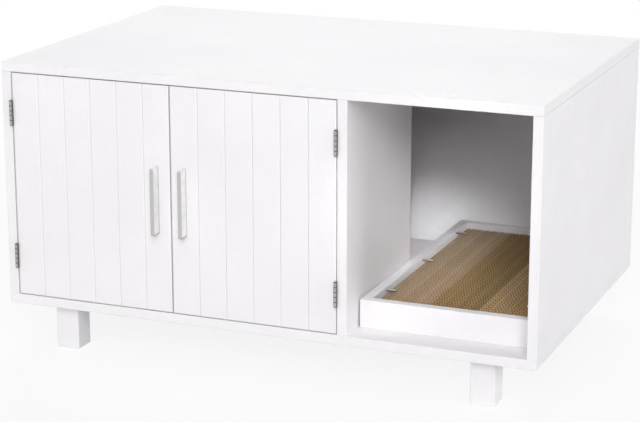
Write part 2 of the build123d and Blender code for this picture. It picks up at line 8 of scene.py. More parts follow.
# %% Load the frame
import json
import math
import bpy
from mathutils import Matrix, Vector


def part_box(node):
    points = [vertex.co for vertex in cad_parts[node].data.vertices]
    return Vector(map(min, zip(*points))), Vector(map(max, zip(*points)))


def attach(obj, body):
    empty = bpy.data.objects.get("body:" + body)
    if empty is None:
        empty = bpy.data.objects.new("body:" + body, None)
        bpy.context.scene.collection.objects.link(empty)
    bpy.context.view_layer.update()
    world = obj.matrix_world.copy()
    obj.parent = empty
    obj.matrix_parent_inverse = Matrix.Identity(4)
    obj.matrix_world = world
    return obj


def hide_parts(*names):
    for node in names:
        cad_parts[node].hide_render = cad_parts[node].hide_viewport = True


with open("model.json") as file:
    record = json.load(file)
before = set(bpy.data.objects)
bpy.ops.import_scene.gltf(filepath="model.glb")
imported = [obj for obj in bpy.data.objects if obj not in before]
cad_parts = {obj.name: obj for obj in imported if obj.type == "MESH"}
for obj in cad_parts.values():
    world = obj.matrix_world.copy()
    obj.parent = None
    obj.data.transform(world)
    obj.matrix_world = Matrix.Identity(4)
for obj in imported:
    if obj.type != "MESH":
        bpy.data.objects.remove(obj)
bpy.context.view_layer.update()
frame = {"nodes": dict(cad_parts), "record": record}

MM = 0.001
scene = bpy.context.scene

# %% [markdown]
# The photograph looks at the cabinet from the right and from above, with a long lens, so the far edges
# shrink only a little. A long focal length from three metres away gives the same flat look. The
# photograph's lens was also shifted, which keeps upright edges upright. A shift would push the cabinet
# out of the picture in other views, so this camera looks down instead. Its place comes from matching
# the cabinet's corners with the picture.

# %% Set the camera
CAMERA_PLACE = (1.161, -2.887, 1.046)
CAMERA_DOWN, CAMERA_TURN = 15.29, 22.12  # degrees
LENS, SENSOR = 114.3, 36.0  # millimetres

eye = bpy.data.cameras.new("eye")
eye.sensor_width = SENSOR
eye.lens = LENS
eye_object = bpy.data.objects.new("eye", eye)
eye_object.location = CAMERA_PLACE
eye_object.rotation_euler = (math.radians(90 - CAMERA_DOWN), 0, math.radians(CAMERA_TURN))
scene.collection.objects.link(eye_object)
scene.camera = eye_object
scene.view_settings.view_transform = "Standard"
print("camera:", CAMERA_PLACE, "lens:", LENS, "mm")

# %% [markdown]
# Colours are easiest to read as the hex values of a paint chart, but the renderer adds up light, so it
# needs linear values. One function turns the first into the second. Nodes could be placed by hand in
# Blender's editor, but they couldn't be read here then. So a second small function adds a node to a
# tree, sets it and links it, and every material below reads as a short list of what it is made of.

# %% Helpers for colours and nodes
def linear(code):
    """Turns an sRGB hex colour into a linear RGBA value."""
    parts = [int(code[i:i + 2], 16) / 255 for i in (1, 3, 5)]
    return [p / 12.92 if p <= 0.04045 else ((p + 0.055) / 1.055) ** 2.4 for p in parts] + [1.0]


def add_node(tree, kind, inputs=None, **settings):
    """Adds a node with its settings. An input is a value, or nodes or an output to link."""
    node = tree.nodes.new(kind)
    for name, value in settings.items():
        setattr(node, name, value)
    for name, given in (inputs or {}).items():
        several = isinstance(given, list) and isinstance(given[0], bpy.types.Node)
        for value in (given if several else [given]):
            if isinstance(value, bpy.types.Node):
                value = next(output for output in value.outputs if output.enabled)
            if isinstance(value, bpy.types.NodeSocket):
                tree.links.new(value, node.inputs[name])
            else:
                node.inputs[name].default_value = value
    return node


def new_material(name):
    """An empty material, and the tree to fill."""
    material = bpy.data.materials.new(name)
    material.use_nodes = True
    material.node_tree.nodes.clear()
    return material, material.node_tree


print("middle grey in linear light:", round(linear("#808080")[0], 3))

# %% [markdown]
# The cabinet stands on a plain pale floor that runs on behind it, under a white sky. More light on the
# floor would make it white, but it would wash out the cabinet as well. So only what is looked at is
# white: a ray from the camera, a mirror or glass finds a floor that is mostly white and a white sky,
# and light that bounces finds an ordinary pale floor and a dim sky. The floor isn't all white near the
# cabinet, so it keeps the shadow.

# %% A floor that looks white
NEAR, FAR = 0.8, 2.4  # metres from the cabinet's middle
WHITE_NEAR, WHITE_FAR = 0.86, 1.0  # how white the floor looks there


def seen_straight(tree):
    """Adds nodes that give 1 to rays from the camera, mirrors and glass, and 0 to light that bounces."""
    path = add_node(tree, "ShaderNodeLightPath").outputs
    seen = add_node(tree, "ShaderNodeMath", {0: path["Is Camera Ray"], 1: path["Is Glossy Ray"]},
                    operation="MAXIMUM")
    return add_node(tree, "ShaderNodeMath", {0: seen, 1: path["Is Transmission Ray"]}, operation="MAXIMUM")


floor_material, tree = new_material("studio_floor")
place = add_node(tree, "ShaderNodeTexCoord").outputs["Object"]
away = add_node(tree, "ShaderNodeVectorMath", {0: place}, operation="LENGTH")
whiteness = add_node(tree, "ShaderNodeMapRange", {
    "Value": away, "From Min": NEAR, "From Max": FAR, "To Min": WHITE_NEAR, "To Max": WHITE_FAR})
share = add_node(tree, "ShaderNodeMath", {0: seen_straight(tree), 1: whiteness}, operation="MULTIPLY")
pale = add_node(tree, "ShaderNodeBsdfDiffuse", {"Color": linear("#F4F4F5")})
white = add_node(tree, "ShaderNodeEmission", {"Color": linear("#FFFFFF"), "Strength": 1.0})
both = add_node(tree, "ShaderNodeMixShader", {0: share, 1: pale, 2: white})
add_node(tree, "ShaderNodeOutputMaterial", {"Surface": both})
print("floor nodes:", len(tree.nodes))

# %% Lay the floor
FLOOR_HALF = 14.0
FLOOR_DROP = 0.2 * MM  # below the feet, so that no two faces share a plane

floor_mesh = bpy.data.meshes.new("studio_floor")
corners = ((-1, -1), (1, -1), (1, 1), (-1, 1))
floor_mesh.from_pydata(
    [(x * FLOOR_HALF, y * FLOOR_HALF, -FLOOR_DROP) for x, y in corners], [], [(0, 1, 2, 3)])
floor_mesh.materials.append(floor_material)
floor = bpy.data.objects.new("studio_floor", floor_mesh)
scene.collection.objects.link(floor)
print("floor:", 2 * FLOOR_HALF, "m wide")

# %% A dim sky that looks white
SKY_GLOW = 0.04  # the light that a dim sky adds, where 1 is white

sky = bpy.data.worlds.new("studio_sky")
scene.world = sky
sky.use_nodes = True
tree = sky.node_tree
tree.nodes.clear()
glow = add_node(tree, "ShaderNodeMapRange", {
    "Value": seen_straight(tree), "To Min": SKY_GLOW, "To Max": 1.0})
backdrop = add_node(tree, "ShaderNodeBackground", {"Color": linear("#FFFFFF"), "Strength": glow})
add_node(tree, "ShaderNodeOutputWorld", {"Surface": backdrop})
print("sky nodes:", len(tree.nodes))

# %% [markdown]
# A studio lights white furniture with large soft boxes. An area lamp does the same, and its size sets
# how soft the shadows are. The key lamp is large, far off, in front and to the right, so the light is
# even along the doors and falls deep into the bay. A weaker fill comes from the left, one lamp behind
# lights the top, one overhead in front lights the tray and the bay's floor, one on the right lights the
# side, and a small one with a grid shines into the bay, where white walls would otherwise turn grey.
# The three in front aren't mirrored in the paint, because seen from behind they would burn out the top.

# %% Lamps
BODY, UPPER_BODY, BAY = (0.0, 0.0, 0.25), (0.0, 0.0, 0.3), (0.265, -0.266, 0.305)  # what lamps aim at


def soft_lamp(name, place, aim, size, watts, spread=180, mirrored=True):
    """A square soft lamp that points at a place on the cabinet. A small spread is a grid in front of it."""
    lamp = bpy.data.lights.new(name, "AREA")
    lamp.shape = "SQUARE"
    lamp.size = size
    lamp.energy = watts
    lamp.spread = math.radians(spread)
    lamp_object = bpy.data.objects.new(name, lamp)
    lamp_object.location = place
    lamp_object.rotation_euler = (Vector(aim) - Vector(place)).to_track_quat("-Z", "Y").to_euler()
    lamp_object.visible_glossy = mirrored
    scene.collection.objects.link(lamp_object)


soft_lamp("key_lamp", (3.38, -8.36, 4.73), BODY, size=4.16, watts=530, mirrored=False)
soft_lamp("fill_lamp", (-4.2, -7.3, 2.6), BODY, size=3.5, watts=88, mirrored=False)
soft_lamp("back_lamp", (-1.3, 3.2, 3.2), UPPER_BODY, size=2.6, watts=102)
soft_lamp("top_lamp", (0.3, -2.3, 4.4), UPPER_BODY, size=3.0, watts=44, mirrored=False)
soft_lamp("side_lamp", (5.0, -0.6, 1.8), BODY, size=2.4, watts=86)
soft_lamp("bay_lamp", (0.818, -1.744, 1.067), BAY, size=0.14, watts=0.09, spread=8)
print("lamps:", [lamp.name for lamp in bpy.data.lights])

# %% [markdown]
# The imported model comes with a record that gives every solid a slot, the name of its material. All the
# boards share one, so they could share one material too, but some pieces need a material that knows
# their own size. So one function lists the solids of a slot, and another dresses any list of solids.
# Their shapes stay as they are.

# %% Find solids and dress them
def solids_of(slot):
    """The names of the solids that the record gives a material slot."""
    return [item["node"] for item in frame["record"]["subparts"] if item["material_slot"] == slot]


def dress(node_names, material):
    """Gives solids of the frame one material."""
    for node_name in node_names:
        slots = frame["nodes"][node_name].data.materials
        slots.clear()
        slots.append(material)


# %% [markdown]
# The boards are fibreboard with sprayed and rolled white paint. Such paint isn't perfectly flat: the
# roller leaves a fine dimpled skin, the white varies a little over a hand's width, and at the edges,
# where the paint draws back, the skin is thinner and a touch warmer. A single white would look like
# plastic. Each board gets a material of its own, because the edge tone needs that board's corners: on
# the surface of a box one of the three distances to its faces is zero, and the next smallest is the
# distance to an edge.

# %% White paint with clouds and thin edges
PAINT, PAINT_CLOUD, PAINT_THIN = "#F7F5F7", "#F0EEF1", "#E9E4DF"
CLOUD_WIDTH, MOTTLE_WIDTH, RAGGED_WIDTH = 170 * MM, 9 * MM, 14 * MM
CLOUD_SPAN = (0.35, 0.75, 0.7)  # where in the noise the tone starts and stops to change, and how far
MOTTLE_SPAN = (0.45, 0.8, 0.35)
EDGE_REACH, EDGE_SHARE = 4 * MM, 0.22


def clouded_white(tree, cloud, mottle):
    """White in clouds a hand wide, with the finer mottle that the roller leaves."""
    tone = linear(PAINT)
    for pattern, (start, end, most) in ((cloud, CLOUD_SPAN), (mottle, MOTTLE_SPAN)):
        share = add_node(tree, "ShaderNodeMapRange", {
            "Value": pattern, "From Min": start, "From Max": end, "To Min": 0.0, "To Max": most})
        tone = add_node(tree, "ShaderNodeMix", {"Factor": share, "A": tone, "B": linear(PAINT_CLOUD)},
                        data_type="RGBA")
    return tone


def thin_edges(tree, tone, ragged, from_low, from_high):
    """Thin paint along the edges. The middle one of the distances to the three nearest faces finds them."""
    near = add_node(tree, "ShaderNodeVectorMath", {0: from_low, 1: from_high}, operation="MINIMUM")
    x, y, z = add_node(tree, "ShaderNodeSeparateXYZ", {0: near}).outputs
    small = add_node(tree, "ShaderNodeMath", {0: x, 1: y}, operation="MINIMUM")
    large = add_node(tree, "ShaderNodeMath", {0: x, 1: y}, operation="MAXIMUM")
    inner = add_node(tree, "ShaderNodeMath", {0: large, 1: z}, operation="MINIMUM")
    to_edge = add_node(tree, "ShaderNodeMath", {0: small, 1: inner}, operation="MAXIMUM")
    reach = add_node(tree, "ShaderNodeMath", {0: ragged, 1: EDGE_REACH}, operation="MULTIPLY")
    share = add_node(tree, "ShaderNodeMapRange", {
        "Value": to_edge, "From Min": 0.0, "From Max": reach, "To Min": EDGE_SHARE, "To Max": 0.0})
    return add_node(tree, "ShaderNodeMix", {"Factor": share, "A": tone, "B": linear(PAINT_THIN)},
                    data_type="RGBA")


print("paint:", PAINT, "clouds:", PAINT_CLOUD, "edges:", PAINT_THIN)

# %% [markdown]
# Each door is cut into six planks by V grooves, and the solid has them. A groove is only a few pixels
# wide in a picture, so its two slopes are painted: the one that faces the light gets a painted
# highlight, a touch lighter than the face, and the one that faces away gets painted shade. An ambient
# occlusion node could darken both, but not one more than the other. The grooves are as far apart as a
# plank is wide, so the rest of a division by that width finds them.

# %% Shade in the grooves of the doors
# The lit slope gets a painted highlight, and the slope that faces away gets painted shade.
PAINT_LIT_SLOPE, PAINT_SHADED_SLOPE = "#F8F6F8", "#DCD9DC"
PLANKS = 6
GROOVE_WIDTH = 3.2 * MM
SLOPE_FROM, SLOPE_TO = 0.45 * GROOVE_WIDTH, 0.6 * GROOVE_WIDTH  # a slope is half as wide, and fades
FRONT_FROM, FRONT_TO = 2 * MM, 3 * MM  # only the front of a door has grooves


def shaded_grooves(tree, tone, from_low, plank):
    """Painted highlight and painted shade for the slopes on both sides of each groove's lowest line, on the
    front of a door.
    """
    along = add_node(tree, "ShaderNodeSeparateXYZ", {0: from_low}).outputs
    past = add_node(tree, "ShaderNodeMath", {0: along["X"], 1: plank}, operation="MODULO")
    before = add_node(tree, "ShaderNodeMath", {0: plank, 1: past}, operation="SUBTRACT")
    front = add_node(tree, "ShaderNodeMapRange", {
        "Value": along["Y"], "From Min": FRONT_FROM, "From Max": FRONT_TO, "To Min": 1.0, "To Max": 0.0})
    for distance, code in ((before, PAINT_LIT_SLOPE), (past, PAINT_SHADED_SLOPE)):
        slope = add_node(tree, "ShaderNodeMapRange", {
            "Value": distance, "From Min": SLOPE_FROM, "From Max": SLOPE_TO, "To Min": 1.0, "To Max": 0.0})
        share = add_node(tree, "ShaderNodeMath", {0: slope, 1: front}, operation="MULTIPLY")
        tone = add_node(tree, "ShaderNodeMix", {"Factor": share, "A": tone, "B": linear(code)},
                        data_type="RGBA")
    return tone


print("planks in a door:", PLANKS)

# %% Paint the boards
DIMPLE_WIDTH, DIMPLE_DEPTH = 2.2 * MM, 0.25 * MM  # just coarse enough to show close up
PATTERN_STEP = (0.37, 0.21, 0.11)  # metres, so that no two boards show the same piece of the pattern
WIDTHS_AND_DETAILS = ((CLOUD_WIDTH, 3.0), (MOTTLE_WIDTH, 2.0), (RAGGED_WIDTH, 4.0), (DIMPLE_WIDTH, 2.0))
NOISE_LOW, NOISE_HIGH = 0.3, 0.7  # most values of a noise lie between these
PAINT_SMOOTH, PAINT_DULL = 0.44, 0.56  # roughness


def painted_board(node_name, order):
    """White paint for one board: soft clouds, thin edges, shade in a door's grooves, and a dimpled skin."""
    low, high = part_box(node_name)
    material, tree = new_material("painted_fibreboard_" + node_name)
    place = add_node(tree, "ShaderNodeTexCoord").outputs["Object"]
    shift = [step * order for step in PATTERN_STEP]
    shifted = add_node(tree, "ShaderNodeVectorMath", {0: place, 1: shift}, operation="ADD")
    cloud, mottle, ragged, dimple = (
        add_node(tree, "ShaderNodeTexNoise", {"Vector": shifted, "Scale": 1 / width, "Detail": detail})
        for width, detail in WIDTHS_AND_DETAILS)
    from_low = add_node(tree, "ShaderNodeVectorMath", {0: place, 1: low}, operation="SUBTRACT")
    from_high = add_node(tree, "ShaderNodeVectorMath", {0: high, 1: place}, operation="SUBTRACT")

    tone = clouded_white(tree, cloud, mottle)
    tone = thin_edges(tree, tone, ragged, from_low, from_high)
    if node_name.endswith("door"):
        tone = shaded_grooves(tree, tone, from_low, (high[0] - low[0]) / PLANKS)
    skin = add_node(tree, "ShaderNodeBump", {"Strength": 0.12, "Distance": DIMPLE_DEPTH, "Height": dimple})
    gloss = add_node(tree, "ShaderNodeMapRange", {
        "Value": mottle, "From Min": NOISE_LOW, "From Max": NOISE_HIGH, "To Min": PAINT_SMOOTH,
        "To Max": PAINT_DULL})
    paint = add_node(tree, "ShaderNodeBsdfPrincipled", {
        "Base Color": tone, "Roughness": gloss, "Normal": skin, "IOR": 1.48, "Specular IOR Level": 0.2})
    add_node(tree, "ShaderNodeOutputMaterial", {"Surface": paint})
    return material


for order, board in enumerate(solids_of("white_paint")):
    dress([board], painted_board(board, order))
print("painted boards:", len(solids_of("white_paint")))

# %% [markdown]
# The pulls, hinges and pad pins are steel with satin nickel plate. Nickel is a grey mirror, and the
# satin comes from brushing before it is plated: fine scratches along the length of the piece. The
# scratches are far finer than a pixel, so they are drawn about half a millimetre wide, as a noise that
# is stretched along the brushing. Screws and strike plates have bright zinc, and the sleeves in the
# underside are turned brass. They are made in the same way with other tones, so one function serves all
# of them.

# %% Satin nickel, zinc plate and brass
SCRATCH_WIDTH, SCRATCH_DEPTH = 0.5 * MM, 0.05 * MM
SMUDGE_WIDTH, SMUDGE_SPAN = 12 * MM, (0.35, 0.7, 0.2)
ROUGHER = 0.14  # how much a scratch adds to the roughness


def satin_metal(name, bright, dark, rough, stretch, painted_dark_where=None, box=None):
    """Plate in two tones, with a noise stretched along the brushing. The function given for the dark tone
    finds where painted shade and painted reflections go.
    """
    material, tree = new_material(name)
    place = add_node(tree, "ShaderNodeTexCoord").outputs["Object"]
    drawn = add_node(tree, "ShaderNodeMapping", {"Vector": place, "Scale": stretch})
    scratch = add_node(tree, "ShaderNodeTexNoise", {
        "Vector": drawn, "Scale": 1 / SCRATCH_WIDTH, "Detail": 3.0})
    smudge = add_node(tree, "ShaderNodeTexNoise", {
        "Vector": place, "Scale": 1 / SMUDGE_WIDTH, "Detail": 2.0})
    start, end, most = SMUDGE_SPAN
    share = add_node(tree, "ShaderNodeMapRange", {
        "Value": smudge, "From Min": start, "From Max": end, "To Min": 0.0, "To Max": most})
    # The dark tone placed here is painted shade and painted reflection.
    if painted_dark_where:
        axes = add_node(tree, "ShaderNodeSeparateXYZ", {0: place}).outputs
        painted_dark_share = painted_dark_where(tree, axes, *box)
        share = add_node(tree, "ShaderNodeMath", {0: painted_dark_share, 1: share}, operation="MAXIMUM")
    tone = add_node(tree, "ShaderNodeMix", {"Factor": share, "A": linear(bright), "B": linear(dark)},
                    data_type="RGBA")
    brushed = add_node(tree, "ShaderNodeMapRange", {
        "Value": scratch, "From Min": NOISE_LOW, "From Max": NOISE_HIGH, "To Min": rough,
        "To Max": rough + ROUGHER})
    relief = add_node(tree, "ShaderNodeBump", {
        "Strength": 0.08, "Distance": SCRATCH_DEPTH, "Height": scratch})
    plate = add_node(tree, "ShaderNodeBsdfPrincipled", {
        "Base Color": tone, "Metallic": 1.0, "Roughness": brushed, "Normal": relief})
    add_node(tree, "ShaderNodeOutputMaterial", {"Surface": plate})
    return material


zinc = satin_metal("bright_zinc_plate", "#BFC2C4", "#8F9294", rough=0.3, stretch=(1, 1, 1))
brass = satin_metal("turned_brass", "#C6A45E", "#9A7C3E", rough=0.28, stretch=(1, 1, 0.2))
for slot, plate in (("zinc_plate", zinc), ("brass", brass)):
    dress(solids_of(slot), plate)
    print(plate.name, "on", len(solids_of(slot)), "solids")

# %% [markdown]
# A pull is a flat bar of nickel plate. Its front is painted darker, as a painted reflection of the
# dimmer room in front of it, and its sides are painted bright, as a painted reflection of the white door
# beside them. Painted shade makes it darkest at its foot and in the line where it meets the door. Two
# materials on separate faces would give a hard line between them, so the tone is worked out from the
# place on the bar instead, and fades over a millimetre or two.

# %% Pulls, with painted reflections: dark on the front and bright on the sides
def painted_reflection_and_shade(tree, axes, low, high):
    """Painted reflection on the front face of a bar, and painted shade at its foot and in the line where it
    meets the door.
    """
    # An axis, the places between which the tone changes, and the share of the dark one before and after
    front = ("Y", low[1] + 0.5 * MM, low[1] + 1.5 * MM, 0.62, 0.0)
    foot = ("Z", low[2] + 1.0 * MM, low[2] + 3.5 * MM, 1.0, 0.0)
    joint = ("Y", high[1] - 4.0 * MM, high[1] - 1.0 * MM, 0.0, 0.6)
    dark = 0.0
    for axis, start, end, first, last in (front, foot, joint):
        band = add_node(tree, "ShaderNodeMapRange", {
            "Value": axes[axis], "From Min": start, "From Max": end, "To Min": first, "To Max": last})
        dark = add_node(tree, "ShaderNodeMath", {0: dark, 1: band}, operation="MAXIMUM")
    return dark


# Both tones are painted: the bright one is a painted reflection on the sides, and the dark one is a painted
# reflection on the front and painted shade at the foot and the joint.
for pull in ("left_handle", "right_handle"):
    low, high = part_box(pull)
    plate = satin_metal("satin_nickel_" + pull, "#FAF9F9", "#A09F9F", rough=0.3, stretch=(1, 1, 0.03),
                        painted_dark_where=painted_reflection_and_shade, box=(low, high))
    dress([pull], plate)
    print(pull, "is", round((high[2] - low[2]) / MM), "mm long")

# %% [markdown]
# A butt hinge shows only its barrel when the door is shut: five knuckles on a pin. The joints between
# the knuckles are gaps too thin to show, so painted shade darkens them, and painted shade also darkens
# the barrel's flanks, as on a round barrel, while the flat leaves behind the barrel keep the bright
# tone. Wider gaps could be modelled, but the shade is painted instead. The joints repeat up the barrel,
# so a division finds them as it found the grooves.

# %% Hinges, with painted shade in the joints and down the flanks of the barrel
KNUCKLES = 5
JOINT_FROM, JOINT_TO = 0.4 * MM, 0.9 * MM  # from the middle of a joint
FLANK_FROM, FLANK_TO, FLANK_SHARE = 1.2 * MM, 2.7 * MM, 0.9  # from the middle of the barrel
BARREL, BARREL_FADE = 6.0 * MM, 0.6 * MM  # how far the barrel reaches back from its front


def painted_barrel_shade(tree, axes, low, high):
    """Painted shade in the joints between the knuckles and down the barrel's flanks; the leaves behind stay
    bright.
    """
    pitch = (high[2] - low[2]) / KNUCKLES
    up = add_node(tree, "ShaderNodeMath", {0: axes["Z"], 1: low[2] - pitch}, operation="SUBTRACT")
    past = add_node(tree, "ShaderNodeMath", {0: up, 1: pitch}, operation="MODULO")
    before = add_node(tree, "ShaderNodeMath", {0: pitch, 1: past}, operation="SUBTRACT")
    away = add_node(tree, "ShaderNodeMath", {0: past, 1: before}, operation="MINIMUM")
    joint = add_node(tree, "ShaderNodeMapRange", {
        "Value": away, "From Min": JOINT_FROM, "From Max": JOINT_TO, "To Min": 1.0, "To Max": 0.0})
    middle = (low[0] + high[0]) / 2
    aside = add_node(tree, "ShaderNodeMath", {0: axes["X"], 1: middle}, operation="SUBTRACT")
    aside = add_node(tree, "ShaderNodeMath", {0: aside}, operation="ABSOLUTE")
    flank = add_node(tree, "ShaderNodeMapRange", {
        "Value": aside, "From Min": FLANK_FROM, "From Max": FLANK_TO, "To Min": 0.0, "To Max": FLANK_SHARE})
    dark = add_node(tree, "ShaderNodeMath", {0: joint, 1: flank}, operation="MAXIMUM")
    back = low[1] + BARREL
    barrel = add_node(tree, "ShaderNodeMapRange", {
        "Value": axes["Y"], "From Min": back, "From Max": back + BARREL_FADE, "To Min": 1.0,
        "To Max": 0.0})
    return add_node(tree, "ShaderNodeMath", {0: dark, 1: barrel}, operation="MULTIPLY")


# The dark tone of the hinges is painted shade.
for hinge in ("left_upper_hinge", "left_lower_hinge", "right_upper_hinge", "right_lower_hinge"):
    plate = satin_metal("satin_nickel_" + hinge, "#BDBBB8", "#565452", rough=0.24, stretch=(1, 1, 0.1),
                        painted_dark_where=painted_barrel_shade, box=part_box(hinge + "_frame_leaf"))
    dress([hinge + piece for piece in ("_frame_leaf", "_door_leaf", "_pin")], plate)
    print(hinge, "in", plate.name)

# %% [markdown]
# Short pins stick out of the tray's side rails and keep the pad down. They are bright on top, where
# they mirror the white bay, and dark below, where they mirror the cardboard and the shade under them.
# A mirror this small and this rough would lose that, so both tones are painted: a painted reflection on
# top, and a painted reflection and painted shade below.

# %% Pad pins, with painted reflections: bright on top and dark below
PIN_FADE = 0.5 * MM


def painted_dark_underside(tree, axes, low, high):
    """Painted reflection and painted shade on the lower half of a lying pin."""
    middle = (low[2] + high[2]) / 2
    return add_node(tree, "ShaderNodeMapRange", {
        "Value": axes["Z"], "From Min": middle - PIN_FADE, "From Max": middle + PIN_FADE, "To Min": 1.0,
        "To Max": 0.0})


# The bright tone is a painted reflection, and the dark one is a painted reflection and painted shade.
pins_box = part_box("pad_pins")
plate = satin_metal("satin_nickel_pins", "#FBFAF9", "#5C5147", rough=0.3, stretch=(0.03, 1, 1),
                    painted_dark_where=painted_dark_underside, box=pins_box)
dress(["pad_pins"], plate)
print("pins box:", [[round(v / MM) for v in corner] for corner in pins_box], "mm")

# %% [markdown]
# Behind the doors are the small inner materials: beech dowels, which are pale wood with short dark
# flecks, the moulded housing of the catch, and its black ferrite magnets. They only show with a door
# open, but they are close to the eye then. Plain colours would do from afar. A noise of the right width
# in each gives wood its flecks, plastic the fine grain of its mould, and pressed powder its specks.

# %% Beech and ferrite
def flecked(name, base, fleck, width, stretch, start, end, rough):
    """A dull material in two tones, with flecks of one width that may be stretched along a grain."""
    material, tree = new_material(name)
    place = add_node(tree, "ShaderNodeTexCoord").outputs["Object"]
    drawn = add_node(tree, "ShaderNodeMapping", {"Vector": place, "Scale": stretch})
    noise = add_node(tree, "ShaderNodeTexNoise", {"Vector": drawn, "Scale": 1 / width, "Detail": 3.0})
    share = add_node(tree, "ShaderNodeMapRange", {
        "Value": noise, "From Min": start, "From Max": end, "To Min": 0.0, "To Max": 1.0})
    tone = add_node(tree, "ShaderNodeMix", {"Factor": share, "A": linear(base), "B": linear(fleck)},
                    data_type="RGBA")
    dull = add_node(tree, "ShaderNodeBsdfPrincipled", {"Base Color": tone, "Roughness": rough})
    add_node(tree, "ShaderNodeOutputMaterial", {"Surface": dull})
    return material


beech = flecked("beech", "#D8B88C", "#A9835A", width=0.9 * MM, stretch=(1, 1, 0.12), start=0.4, end=0.7,
                rough=0.62)
ferrite = flecked("pressed_ferrite", "#2B2A2C", "#4A484A", width=0.5 * MM, stretch=(1, 1, 1), start=0.5,
                  end=0.75, rough=0.6)
for slot, material in (("beech", beech), ("ferrite", ferrite)):
    dress(solids_of(slot), material)
    print(material.name, "on", solids_of(slot))

# %% Moulded plastic
GRAIN_WIDTH, GRAIN_DEPTH = 0.7 * MM, 0.06 * MM
PLASTIC_SMOOTH, PLASTIC_DULL = 0.42, 0.55  # roughness

moulded, tree = new_material("moulded_abs")
place = add_node(tree, "ShaderNodeTexCoord").outputs["Object"]
grain = add_node(tree, "ShaderNodeTexNoise", {"Vector": place, "Scale": 1 / GRAIN_WIDTH, "Detail": 2.0})
relief = add_node(tree, "ShaderNodeBump", {"Strength": 0.15, "Distance": GRAIN_DEPTH, "Height": grain})
rough = add_node(tree, "ShaderNodeMapRange", {
    "Value": grain, "From Min": NOISE_LOW, "From Max": NOISE_HIGH, "To Min": PLASTIC_SMOOTH,
    "To Max": PLASTIC_DULL})
plastic = add_node(tree, "ShaderNodeBsdfPrincipled", {
    "Base Color": linear("#E9E8E3"), "Roughness": rough, "Normal": relief, "IOR": 1.54})
add_node(tree, "ShaderNodeOutputMaterial", {"Surface": plastic})
dress(solids_of("white_plastic"), moulded)
print("moulded grain:", round(GRAIN_WIDTH / MM, 1), "mm")

# %% [markdown]
# The scratching pad is corrugated cardboard on edge: straight sheets of kraft paper with a wavy sheet
# between each two. It is glued up from three strips of different batches, so its brown changes twice
# across the width. One brown with noise would look like cork. So every sheet gets a tone of its own,
# the fibres mottle it, and painted shade darkens the paper quickly down inside the flutes, where little
# light goes.

# %% The browns of the three strips
# The third strip fades from a lighter brown at its left side to a darker one at its right edge.
STRIP_BROWNS = (
    (0.0, "#BEA88A"), (0.33, "#C0A888"), (0.345, "#B4986C"), (0.66, "#B69A6E"), (0.675, "#DABC92"),
    (1.0, "#C8A473"))  # shares of the width, with a sharp change between two strips

pad_low, pad_high = (Vector(corner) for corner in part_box("scratch_pad"))
pad_size = pad_high - pad_low
cardboard, tree = new_material("kraft_cardboard")
place = add_node(tree, "ShaderNodeTexCoord").outputs["Object"]
axes = add_node(tree, "ShaderNodeSeparateXYZ", {0: place}).outputs
across = add_node(tree, "ShaderNodeMapRange", {
    "Value": axes["X"], "From Min": pad_low.x, "From Max": pad_high.x})
strip = add_node(tree, "ShaderNodeValToRGB", {0: across})
while len(strip.color_ramp.elements) < len(STRIP_BROWNS):
    strip.color_ramp.elements.new(0.5)
for element, (position, code) in zip(strip.color_ramp.elements, STRIP_BROWNS):
    element.position = position
    element.color = linear(code)
print("pad:", [round(v / MM) for v in pad_size], "mm")

# %% Sheets, fibres and dark flutes
PLY, FLUTE = 5.0 * MM, 11.0 * MM  # real board has about 4 and 8, which would blur in the render
FIBRE_WIDTH, FIBRE_DEPTH, PATCH_WIDTH = 2.5 * MM, 0.3 * MM, 70 * MM
DARK_FROM, DARK_TO, DARKEST = 0.2 * MM, 1.8 * MM, 0.22  # depths in the pad, and the light left there
SUM_LOW, SUM_HIGH = 0.6, 2.2  # most sums of the three noises lie between these
DIM, BRIGHT = 0.8, 1.15  # what the noises make of a strip's brown

sheet = add_node(tree, "ShaderNodeMath", {0: axes["X"], 1: PLY}, operation="DIVIDE")
sheet = add_node(tree, "ShaderNodeMath", {0: sheet}, operation="FLOOR")
sheet = add_node(tree, "ShaderNodeTexWhiteNoise", {"W": sheet}, noise_dimensions="1D")
fibre = add_node(tree, "ShaderNodeTexNoise", {"Vector": place, "Scale": 1 / FIBRE_WIDTH, "Detail": 4.0})
patch = add_node(tree, "ShaderNodeTexNoise", {"Vector": place, "Scale": 1 / PATCH_WIDTH, "Detail": 2.0})
light = add_node(tree, "ShaderNodeMath", {0: sheet, 1: fibre}, operation="ADD")
light = add_node(tree, "ShaderNodeMath", {0: light, 1: patch}, operation="ADD")
light = add_node(tree, "ShaderNodeMapRange", {
    "Value": light, "From Min": SUM_LOW, "From Max": SUM_HIGH, "To Min": DIM, "To Max": BRIGHT})
depth = add_node(tree, "ShaderNodeMapRange", {
    "Value": axes["Z"], "From Min": pad_high.z - DARK_TO, "From Max": pad_high.z - DARK_FROM,
    "To Min": DARKEST, "To Max": 1.0})

# Painted shade in the flutes of the second and the third strip is deeper than in the first
steep = add_node(tree, "ShaderNodeMapRange", {
    "Value": across, "From Min": STRIP_BROWNS[1][0], "From Max": STRIP_BROWNS[2][0],
    "To Min": 1.0, "To Max": 2.0})
depth = add_node(tree, "ShaderNodeMath", {0: depth, 1: steep}, operation="POWER")
light = add_node(tree, "ShaderNodeMath", {0: light, 1: depth}, operation="MULTIPLY")
tone = add_node(tree, "ShaderNodeVectorMath", {0: strip, "Scale": light}, operation="SCALE")
fuzz = add_node(tree, "ShaderNodeBump", {"Strength": 0.3, "Distance": FIBRE_DEPTH, "Height": fibre})
paper = add_node(tree, "ShaderNodeBsdfPrincipled", {
    "Base Color": tone, "Roughness": 0.92, "Normal": fuzz, "Specular IOR Level": 0.15})
add_node(tree, "ShaderNodeOutputMaterial", {"Surface": paper})
print("cardboard nodes:", len(tree.nodes))

